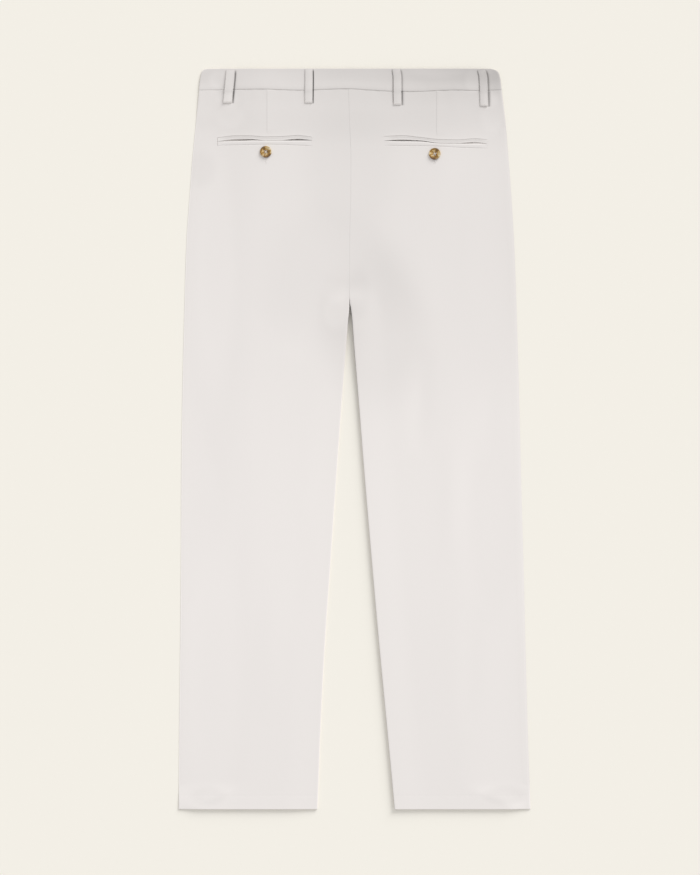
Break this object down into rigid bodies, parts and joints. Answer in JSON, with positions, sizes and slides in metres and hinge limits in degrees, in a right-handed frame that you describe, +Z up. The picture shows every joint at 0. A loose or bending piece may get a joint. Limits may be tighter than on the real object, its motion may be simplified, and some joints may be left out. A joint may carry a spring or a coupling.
{
  "type": "chino trousers",
  "caption": "Straight-leg chino trousers laid flat with the back uppermost: waistband with belt loops, seat seam, darts and buttoned welt pockets.",
  "frame": {"origin": "under the middle of the outline, on the surface that the trousers lie on", "axes": "+Y towards the waist, +Z up off the surface, +X to the wearer's right, which is the picture's right because the back is uppermost"},
  "size_m": [0.51, 1.07, 0.0104],
  "materials": {
    "cotton_twill": "light stone cotton twill, soft and matt, with a fine diagonal weave",
    "horn_button": "mottled golden-brown horn look, softly polished, with a darker crescent"
  },
  "bodies": {
    "root": {"front_left": "cotton_twill", "front_right": "cotton_twill", "back_left": "cotton_twill", "back_right": "cotton_twill", "waistband": "cotton_twill", "fly_shield": "cotton_twill", "belt_loop_side_left": "cotton_twill", "belt_loop_back_left": "cotton_twill", "belt_loop_back_right": "cotton_twill", "belt_loop_side_right": "cotton_twill", "belt_loop_front_left": "cotton_twill", "belt_loop_front_right": "cotton_twill", "pocket_lip_upper_left": "cotton_twill", "pocket_lip_lower_left": "cotton_twill", "pocket_lip_upper_right": "cotton_twill", "pocket_lip_lower_right": "cotton_twill", "pocket_button_left": "horn_button", "pocket_button_right": "horn_button"}
  },
  "joints": []
}
